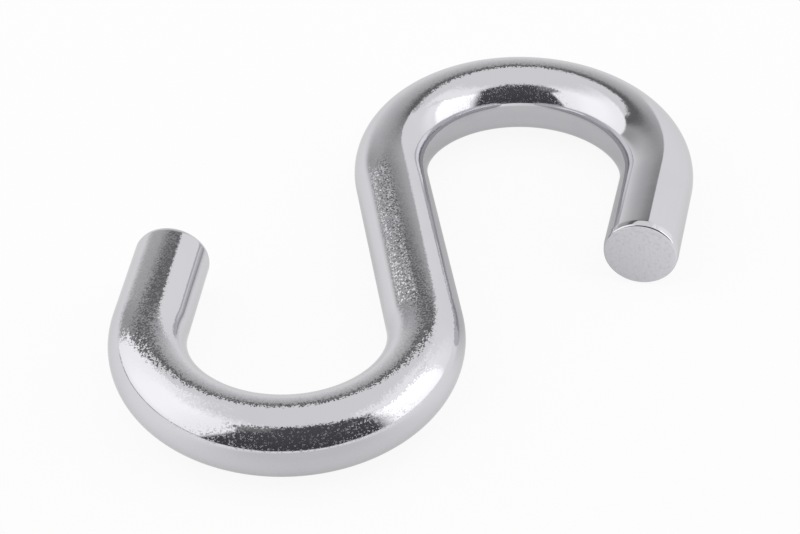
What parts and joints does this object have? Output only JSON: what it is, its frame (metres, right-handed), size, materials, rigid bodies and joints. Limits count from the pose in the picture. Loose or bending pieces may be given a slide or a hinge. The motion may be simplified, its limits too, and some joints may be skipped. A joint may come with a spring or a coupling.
{
  "type": "s hook",
  "caption": "Open S-shaped hook bent from round bright zinc-plated steel wire, with an opposed hook at each end of a straight shank, for hanging chain, rings or tools.",
  "frame": {"origin": "on the surface that the hook lies on, under the middle of its outline", "axes": "+Y along the shank to the upper hook, +X from the shank to the upper hook's free leg, +Z square to the plane of the hook and up from the surface that it lies on"},
  "size_m": [0.049, 0.045, 0.006],
  "materials": {
    "zinc_plate": "bright zinc plate on steel wire, glossy with a fine grain, matt on the cropped ends"
  },
  "bodies": {
    "root": {"s_hook": "zinc_plate"}
  },
  "joints": []
}
